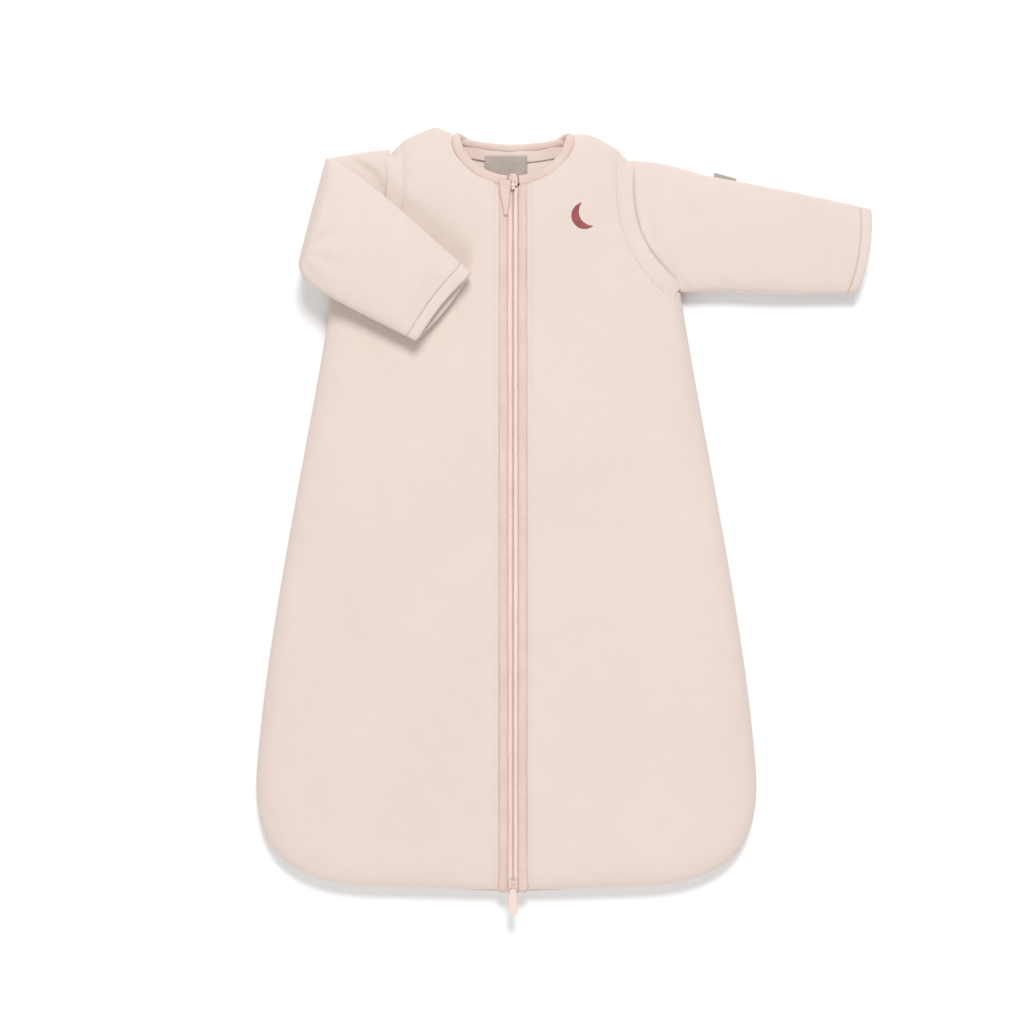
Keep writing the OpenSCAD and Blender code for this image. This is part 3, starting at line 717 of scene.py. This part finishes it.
# ---------------- small trim
def make_chin_guard():
    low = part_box("chin_guard")[0]
    rows, cols = 30, 16
    t = np.linspace(0, 1, rows)
    left = at(np.array([(-8.0, -1), (-10.6, 12), (-12.6, 22), (-13.2, 31)]) * MM + (0, low.y), t)
    right = at(np.array([(-5.0, -1), (-4.2, 5), (-2.8, 16), (-1.6, 31)]) * MM + (0, low.y), t)
    w = np.linspace(0, 1, cols)[None, :, None]
    plan = left[:, None] * (1 - w) + right[:, None] * w
    bulge = np.sqrt(np.clip(4 * w[..., 0] * (1 - w[..., 0]), 0, 1)) * np.minimum(1, t[:, None] * 6) ** 0.5
    base = low.z + 0.1 * MM + 0 * bulge
    guard = grid_solid("chin_guard_flap", plan, base - 0.7 * MM, base + (-0.3 + 1.3 * bulge) * MM, BIND)
    place(guard, "flap_left", "binding", "chin_guard")
    edge = at(left + (1.3 * MM, 0), np.linspace(0.1, 0.95, 20))
    line = np.column_stack([edge, np.full(20, low.z + 0.8 * MM)])
    place(stitches("chin_guard_stitches", line, 2 * MM), "flap_left", "binding")


def make_label():
    low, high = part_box("neck_label")
    x, y = np.linspace(low.x, high.x, 40), np.linspace(low.y, high.y, 26)
    plan = np.stack(np.meshgrid(x, y), axis=-1)
    base = np.full(plan.shape[:2], low.z + 0.5 * MM)
    base += 0.5 * MM * (1 + ripple(plan[..., 0], plan[..., 1], 0.03, 91))
    label = grid_solid("neck_label_cloth", plan, base, base + 0.45 * MM, LABEL)
    place(label, "root", "label", "neck_label")
    edge = np.array([(low.x + 1.5 * MM, high.y - 1.5 * MM), (high.x - 1.5 * MM, high.y - 1.5 * MM)])
    line = np.column_stack([at(edge, np.linspace(0, 1, 20)), np.full(20, low.z + 1.6 * MM)])
    place(stitches("neck_label_stitches", line, 2 * MM), "root", "label")


def make_moon():
    """A crescent of raised satin stitch between two arcs."""
    low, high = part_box("moon_applique")
    radius = (high.y - low.y) / 2
    centre = np.array([low.x + radius, (low.y + high.y) / 2])
    offset, inner = 0.77 * radius, 1.07 * radius
    lean = math.radians(26)
    half = math.acos((radius**2 + offset**2 - inner**2) / (2 * radius * offset))
    t = np.linspace(-1, 1, 61)
    outer_angle = lean + math.pi + t * (math.pi - half)
    outside = centre + radius * np.stack([np.cos(outer_angle), np.sin(outer_angle)], axis=1)
    hub = centre + offset * np.array([math.cos(lean), math.sin(lean)])
    tip = math.asin(radius * math.sin(half) / inner)
    inner_angle = lean + math.pi + t * tip
    if inner * math.cos(tip) < offset - radius * math.cos(half):
        inner_angle = lean + math.pi + t * (math.pi - tip)
    inside = hub + inner * np.stack([np.cos(inner_angle), np.sin(inner_angle)], axis=1)
    w = np.linspace(0, 1, 14)[None, :, None]
    plan = outside[:, None] * (1 - w) + inside[:, None] * w
    fat = np.sqrt(np.clip(4 * w[..., 0] * (1 - w[..., 0]), 0, 1)) * np.sqrt(np.clip(1 - t**6, 0, 1))[:, None]
    base = np.full(fat.shape, low.z - 1.2 * MM)
    moon = grid_solid("moon_embroidery", plan, base, base + 1.3 * MM + 1.1 * MM * fat, MOON)
    fix_normals(moon)
    place(moon, "root", "moon", "moon_applique")


# ---------------- armholes
def armhole_offset(distance, count=120):
    """The armhole line moved outward from the bag."""
    line = at(armhole_curve, np.linspace(0, 1, count))
    d = np.gradient(line, axis=0)
    normal = np.stack([d[:, 1], -d[:, 0]], axis=1) / np.linalg.norm(d, axis=1)[:, None]
    return line + normal * distance


def make_armhole(side):
    """The edge of the bag that laps over the start of a sleeve, with its row of stitches."""
    name = side_name(side)
    reach = np.array([-13, -11.5, -10.5, -9, -7, -4.5, -2, 0, 2, 3.6, 4.8, 5.6, 6.2, 6.5]) * MM
    plan = np.stack([armhole_offset(r) for r in reach], axis=1)[2:-2]
    r = reach[None, :] + 0 * plan[..., 0]
    inner = armhole_offset(-2 * MM)[2:-2]
    surface = front_surface(plan, side, False)
    held = front_surface(inner, side, False)[:, None] + 0 * r
    crown = np.where(r > -2 * MM, held, surface)
    crown += (-0.5 + 0.9 * smooth((r + 13 * MM) / (8 * MM))) * MM
    crown -= 2.6 * MM * (1 - puff((7.0 * MM - r) / (4.5 * MM), 2))
    crown += 0.3 * MM * ripple(plan[..., 0], plan[..., 1], 0.03, 15) * smooth((r + 8 * MM) / (5 * MM))
    thick = (1.2 + 0.7 * smooth(r / (4 * MM))) * MM
    lap = grid_solid("armhole_lap_%s_cloth" % name, lay(plan, side), crown - thick, crown, SHELL)
    place(lap, "root", "binding", "armhole_lap_%s" % name)
    seam = armhole_offset(-9.3 * MM)[4:-4]
    z = front_surface(seam, side) + 0.15 * MM
    line = np.column_stack([lay(seam, side), z])
    place(stitches("armhole_%s_stitches" % name, line), "root", "binding")
    # concealed zip between the lap and the sleeve: two coil strands
    for k, gap in enumerate((3.2, 5.0)):
        row = armhole_offset(gap * MM)[8:-8]
        z = front_surface(armhole_offset(-2 * MM)[8:-8], side, False) - 3.6 * MM
        path = np.column_stack([lay(row, side), z])
        strand = sweep("sleeve_zip_%s_%d" % (name, k), path, 1.7 * MM, 1.3 * MM, TAPE)
        place(strand, "root", "zip_tape", "sleeve_zip_%s" % name)


# ---------------- sleeves
CREASE_Z = JOINTS["forearm_right_fold"]["pos_m"][2]
SLEEVE_WALL = 5.4 * MM               # outer cloth, filling and lining together
LINING_WALL = 1.0 * MM
ARC_POINTS = 84                      # points round a ring of a sleeve
PLAN_COLUMNS, MIDDLE_COLUMN = 25, 12
CUFF_STATIONS = 15
ELBOW, SHOULDER_FOLD = (-0.196, 0.236), (-0.130, 0.306)    # centres of the left sleeve's folds

# lines of each sleeve in plan, in metres; the folded left forearm starts again from its crease
SLEEVES = {
    1: {"crease": [(0.174, 0.308), (0.188, 0.257), (0.196, 0.201)],
        "cuff": [(0.329, 0.2765), (0.3265, 0.236), (0.3155, 0.1995)],
        "upper_top": [SHOULDER_TIP, (0.128, 0.3215), (0.152, 0.315), (0.174, 0.308)],
        "upper_low": [ARMPIT, (0.172, 0.2005), (0.184, 0.2002), (0.196, 0.201)],
        "fore_top": [(0.174, 0.308), (0.225, 0.2985), (0.28, 0.288), (0.329, 0.2765)],
        "fore_low": [(0.196, 0.201), (0.235, 0.1985), (0.28, 0.1985), (0.3155, 0.1995)]},
    -1: {"crease": [(-0.172, 0.322), (-0.184, 0.275), (-0.196, 0.228)],
         "cuff": [(-0.038, 0.217), (-0.0605, 0.1845), (-0.089, 0.154)],
         "upper_top": [(-0.112, 0.3315), (-0.135, 0.3295), (-0.155, 0.3265), (-0.172, 0.322)],
         "upper_low": [(-0.165, 0.205), (-0.176, 0.209), (-0.188, 0.218), (-0.196, 0.228)],
         "fore_top": [(-0.172, 0.322), (-0.146, 0.3155), (-0.1, 0.271), (-0.038, 0.217)],
         "fore_low": [(-0.196, 0.228), (-0.197, 0.206), (-0.172, 0.1965), (-0.089, 0.154)]},
}


def curve_through(points, n):
    """A smooth line through three points."""
    a, b, c = (np.array(p) for p in points)
    t = np.linspace(0, 1, n)[:, None]
    control = 2 * b - (a + c) / 2
    return (1 - t) ** 2 * a + 2 * t * (1 - t) * control + t**2 * c


def sleeve_plan(side, part, count):
    """Rows from the body towards the cuff; columns from the upper edge to the lower one."""
    form = SLEEVES[side]
    crease = curve_through(form["crease"], PLAN_COLUMNS)
    if part == "upper":
        arm = lay(armhole_offset(0.6 * MM)[::-1], side)
        top, low = bezier(form["upper_top"], 60), bezier(form["upper_low"], 60)
        top[0], low[0] = arm[0], arm[-1]
        start, end = at(arm, np.linspace(0, 1, PLAN_COLUMNS)), crease
    else:
        top, low = bezier(form["fore_top"], 60), bezier(form["fore_low"], 60)
        start, end = crease, curve_through(form["cuff"], PLAN_COLUMNS)
    s = np.linspace(0, 1, count)
    return patch(start, end, at(top, s), at(low, s))


def rings(plan, low, high, inset=0.0, power=2.7):
    """Flattened tube rings over a plan, each drawn in by an inset.

    Returns the points, how far up each faces, and its place from the first column to the last."""
    a = np.linspace(0, 2 * math.pi, ARC_POINTS, endpoint=False)
    w = np.linspace(0, 1, plan.shape[1])
    out = np.empty((len(plan), ARC_POINTS, 3))
    inset = np.broadcast_to(inset, len(plan))
    for j, row in enumerate(plan):
        width = np.linalg.norm(row[0] - row[-1])
        half = (high[j] - low[j]) / 2
        q = 0.5 - 0.5 * (1 - 2 * inset[j] / width) * np.cos(a)
        inner = max(half - inset[j], 0.35 * half if inset[j] > 0 else half)
        lift = np.sign(np.sin(a)) * inner * (1 - np.abs(np.cos(a)) ** power) ** (1 / power)
        xs, ys = np.interp(q, w, row[:, 0]), np.interp(q, w, row[:, 1])
        out[j] = np.column_stack([xs, ys, (high[j] + low[j]) / 2 + lift])
    return out, np.sin(a)[None, :] + 0 * out[..., 0], 0.5 - 0.5 * np.cos(a)[None, :] + 0 * out[..., 0]


def heights(stations, knots, values):
    """Smooth heights along a sleeve from a few values."""
    t = np.interp(stations, knots, np.arange(len(knots)))
    base = np.floor(t).astype(int).clip(0, len(values) - 2)
    f = smooth(t - base)
    v = np.array(values, float)
    return v[base] * (1 - f) + v[base + 1] * f


def sleeve_relief(points, up, seed):
    x, y = points[..., 0], points[..., 1]
    hills = 0.9 * ripple(x, y, 0.11, seed) + 0.35 * ripple(x, y, 0.042, seed + 1)
    return hills * MM * np.clip(np.abs(up), 0, 1) ** 0.7 * np.sign(up)


def sleeve_shell_and_lining(prefix, nodes, plan, low, high, body=None, change=None, end_round=0.0,
                            blend=None, seed=5):
    """Outer cloth with its filling, and the lining inside it. They ride on a body, or, when a blend is given,
    only have their placement baked into the mesh.
    """
    m = len(plan)
    lip = np.zeros(m)
    if end_round:
        distance = np.linalg.norm(plan[-1, MIDDLE_COLUMN] - plan[:, MIDDLE_COLUMN], axis=1)
        lip = end_round * (1 - puff(distance / (2.2 * MM), 2))
    outer, up, w = rings(plan, low, high, lip)
    outer[..., 2] += sleeve_relief(outer, up, seed)
    middle = rings(plan, low, high, np.maximum(SLEEVE_WALL - LINING_WALL, lip + 1 * MM))[0]
    inner = rings(plan, low, high, SLEEVE_WALL)[0]
    if change is not None:
        outer, middle, inner = (change(r, up, w) for r in (outer, middle, inner))
    outside = tube_solid(prefix + "_cloth", outer, middle, SHELL)
    inside = tube_solid(prefix + "_lining_cloth", middle, inner, LINING)
    layers = (outside, "shell", ("shell", "wadding")), (inside, "lining", ("lining",))
    for obj, slot_name, replaced in layers:
        fix_normals(obj)
        hidden = ["%s_%s" % (n, r) for n in nodes for r in replaced]
        if blend:
            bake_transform(obj)
        else:
            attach(obj, body)
        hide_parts(*hidden)


def make_cuff(side, plan, low, high, change=None):
    """Turned hem: a fat rounded band at the end of a sleeve."""
    outer_lip = np.linspace(-1, 1, len(plan))
    round_off = 1.5 * MM * (1 - np.sqrt(1 - np.abs(outer_lip) ** 3 * 0.98))
    outer, up, w = rings(plan, low, high, round_off - 0.35 * MM)
    along = np.arctan2(up, 2 * w - 1)
    outer[..., 2] += 0.25 * MM * np.sin(along * 36) * np.sign(up) * (1 - np.abs(outer_lip))[:, None]
    inner = rings(plan, low, high, SLEEVE_WALL + 0.2 * MM - round_off * 0.8)[0]
    if change is not None:
        outer, inner = change(outer, up, w), change(inner, up, w)
    hem = fix_normals(tube_solid("cuff_%s_hem" % side_name(side), outer, inner, SHELL))
    place(hem, "forearm_%s" % side_name(side), "binding", "cuff_hem_%s" % side_name(side))


def cuff_band(rows):
    """The last rows of a sleeve, resampled for its cuff; also both sets of positions along them."""
    ticks, grid = np.linspace(0, 1, CUFF_STATIONS), np.linspace(0, 1, len(rows))
    band = np.stack([[np.interp(ticks, grid, rows[:, c, k]) for k in (0, 1)] for c in range(rows.shape[1])])
    return band.transpose(2, 0, 1), ticks, grid


def make_right_sleeve():
    upper, fore = sleeve_plan(1, "upper", 60), sleeve_plan(1, "fore", 110)
    cuff_from = 102
    low_end, high_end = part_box("cuff_hem_right")
    plan = np.vstack([upper, fore[1:cuff_from + 1]])
    s = np.linspace(0, 1, len(plan))
    low = heights(s, [0, 0.08, 0.37, 1], [6 * MM, 3.5 * MM, 2 * MM, low_end.z - 0.8 * MM])
    crown = [FRONT_TOP - 6 * MM, FRONT_TOP - 3.4 * MM, FRONT_TOP - 0.4 * MM, FRONT_TOP + 0.6 * MM, high_end.z]
    high = heights(s, [0, 0.05, 0.14, 0.37, 1], crown)
    middle, normal = np.array([0.185, 0.255]), np.array([0.9791, 0.2032])
    start, end = ((p[0], p[1], CREASE_Z) for p in (middle - normal * 12 * MM, middle + normal * 12 * MM))
    bodies = ("sleeve_right", "forearm_right")
    sleeve_shell_and_lining("right_sleeve", bodies, plan, low, high, end_round=1.3 * MM,
                            blend=(*bodies, start, end))
    band = cuff_band(fore[cuff_from:])[0]
    make_cuff(1, band, np.full(CUFF_STATIONS, low[-1]), np.full(CUFF_STATIONS, high[-1]))


def closing(distance, reach, amount):
    """How far a wall bends round towards the crease, as a quarter ellipse."""
    return amount * (1 - puff(distance / reach, 2))


def make_left_sleeve():
    upper, fore = sleeve_plan(-1, "upper", 80), sleeve_plan(-1, "fore", 130)
    gap = np.linalg.norm(upper[:-1, MIDDLE_COLUMN] - upper[-1, MIDDLE_COLUMN], axis=1)
    upper = upper[:-1]
    s = np.linspace(0, 1, len(upper))
    crown = [FRONT_TOP - 6 * MM, FRONT_TOP - 3 * MM, CREASE_Z - 0.8 * MM, CREASE_Z - 0.5 * MM]
    high = heights(s, [0, 0.12, 0.4, 1], crown)
    low = heights(s, [0, 0.1, 1], [6 * MM, 3.5 * MM, 2 * MM])
    low = low + closing(gap, 13 * MM, 1) * (high - 1.2 * MM - low)

    def crease_folds(points, up, w):
        # short folds that fan out from the shoulder
        x, y = points[..., 0], points[..., 1]
        dx, dy = x - SHOULDER_FOLD[0], y - SHOULDER_FOLD[1]
        near = np.exp(-(np.hypot(dx, dy) / 0.026) ** 2)
        across = dx * 0.72 + dy * 0.69 + 2 * MM * np.sin((x - y) * 90)
        wave = -1.9 * groove(across, 0, 3.2 * MM) + 0.8 * groove(across, 7.5 * MM, 3.5 * MM)
        points[..., 2] += MM * near * wave * np.clip(up * 1.5, 0, 1)
        return points

    sleeve_shell_and_lining("left_upper_sleeve", ["sleeve_left"], upper, low, high, "sleeve_left",
                            change=crease_folds, seed=15)

    fore = fore[1:]
    cuff_from = 119
    low_end, high_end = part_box("cuff_hem_left")
    distance = np.linalg.norm(fore[:, MIDDLE_COLUMN] - fore[0, MIDDLE_COLUMN], axis=1) + 1 * MM
    s = np.linspace(0, 1, len(fore))
    low = heights(s, [0, 0.5, 1], [CREASE_Z + 0.5 * MM, CREASE_Z + 1.2 * MM, low_end.z])
    high = heights(s, [0, 0.25, 0.6, 1], [50.4 * MM, 50.8 * MM, 50 * MM, high_end.z])
    high = high - closing(distance, 15 * MM, 1) * (high - low - 1.4 * MM)
    axis = np.array([0.8, -0.6])
    cuff_mid = fore[-1, MIDDLE_COLUMN]

    def elbow_and_opening(points, up, w):
        x, y = points[..., 0], points[..., 1]
        from_cuff = (cuff_mid[0] - x) * axis[0] + (cuff_mid[1] - y) * axis[1]
        # the upper wall is drawn back at the cuff and shows the lining of the lower one
        bell = np.clip(4 * w * (1 - w), 0, 1) ** 1.3
        shift = 5 * MM * bell * smooth(up * 2) * smooth((60 * MM - from_cuff) / (55 * MM))
        points[..., 0] -= axis[0] * shift
        points[..., 1] -= axis[1] * shift
        points[..., 2] -= 5 * MM * bell * smooth(up * 2) * smooth((34 * MM - from_cuff) / (32 * MM))
        # folds that fan out from the elbow
        dx, dy = x - ELBOW[0], y - ELBOW[1]
        angle, far = np.arctan2(dy, dx), np.hypot(dx, dy)
        fan = np.sin(angle * 9 + 1.5) * np.exp(-((far - 0.026) / 0.018) ** 2)
        points[..., 2] += 1.2 * MM * fan * np.clip(up, 0, 1)
        return points

    arm = slice(0, cuff_from + 1)
    sleeve_shell_and_lining("left_forearm", ["forearm_left"], fore[arm], low[arm], high[arm], "forearm_left",
                            change=elbow_and_opening, end_round=1.3 * MM, seed=25)
    band, ticks, grid = cuff_band(fore[cuff_from:])
    make_cuff(-1, band, np.interp(ticks, grid, low[cuff_from:]), np.interp(ticks, grid, high[cuff_from:]),
              elbow_and_opening)


def make_sleeve_tag():
    low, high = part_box("sleeve_tag")
    middle = (low + high) / 2
    x, y = np.linspace(-10.5, 10.5, 24) * MM, np.linspace(-4, 4.5, 12) * MM
    plan = np.stack(np.meshgrid(x, y), axis=-1)
    turn = math.radians(-16)
    c, s = math.cos(turn), math.sin(turn)
    local_x, local_y = plan[..., 0], plan[..., 1]
    placed = np.stack([middle.x + c * local_x - s * local_y,
                       middle.y - 4.2 * MM + s * local_x + c * local_y], axis=-1)
    z = middle.z + 0.25 * MM * np.cos(local_x * 160) + 0.4 * MM * smooth(local_y / (4 * MM))
    tag = grid_solid("sleeve_tag_cloth", placed, z - 0.35 * MM, z + 0.35 * MM, LABEL)
    place(tag, "forearm_right", "label", "sleeve_tag")


# ---------------- everything together
make_back()
make_back_neck()
for half in (1, -1):
    make_front(half)
    make_bindings(half)
    make_zip(half)
    make_armhole(half)
make_zip_hardware()
make_chin_guard()
make_label()
make_moon()
make_right_sleeve()
make_left_sleeve()
make_sleeve_tag()


# ---------------- floor, light and camera
def plain(name, colour):
    c = Cloth(name, 0.9)
    c.feed(c.shader, Base_Color=colour, Specular_IOR_Level=0.1)
    return c.material


def lamp(name, position, size, power):
    """A round soft lamp that points at the middle of the bag."""
    data = bpy.data.lights.new(name, "AREA")
    data.shape, data.size, data.energy = "DISK", size, power
    obj = bpy.data.objects.new(name, data)
    obj.location = position
    direction = -np.array(position, float)
    obj.rotation_euler = (math.atan2(np.hypot(direction[0], direction[1]), -direction[2]), 0,
                          math.atan2(-direction[0], direction[1]))
    bpy.context.scene.collection.objects.link(obj)
    return obj


FLOOR_REACH, FLOOR_Z = 6.0, -0.2 * MM
corners = [(x * FLOOR_REACH, y * FLOOR_REACH, FLOOR_Z) for x, y in ((-1, -1), (1, -1), (1, 1), (-1, 1))]
floor = new_object("floor", corners, [(0, 1, 2, 3)], plain("floor_white", (0.97, 0.97, 0.97, 1)), False)
key = lamp("key", (0.3, 3.2, 4.0), size=1.9, power=186)
fill = lamp("fill", (-0.3, -3.6, 2.2), size=2.6, power=76)
scene = bpy.context.scene
scene.world = scene.world or bpy.data.worlds.new("studio")
scene.world.use_nodes = True
sky = scene.world.node_tree.nodes["Background"]
sky.inputs["Color"].default_value = (1, 1, 1, 1)
sky.inputs["Strength"].default_value = 0.45
scene.view_settings.view_transform = "Standard"

lens = bpy.data.cameras.new("camera")
lens.sensor_width, lens.lens, lens.clip_end = 36, 114.2, 30
camera = bpy.data.objects.new("camera", lens)
camera.location = (-0.0009, -0.0018, 3.0)     # straight above, as the photo was taken
scene.collection.objects.link(camera)
scene.camera = camera
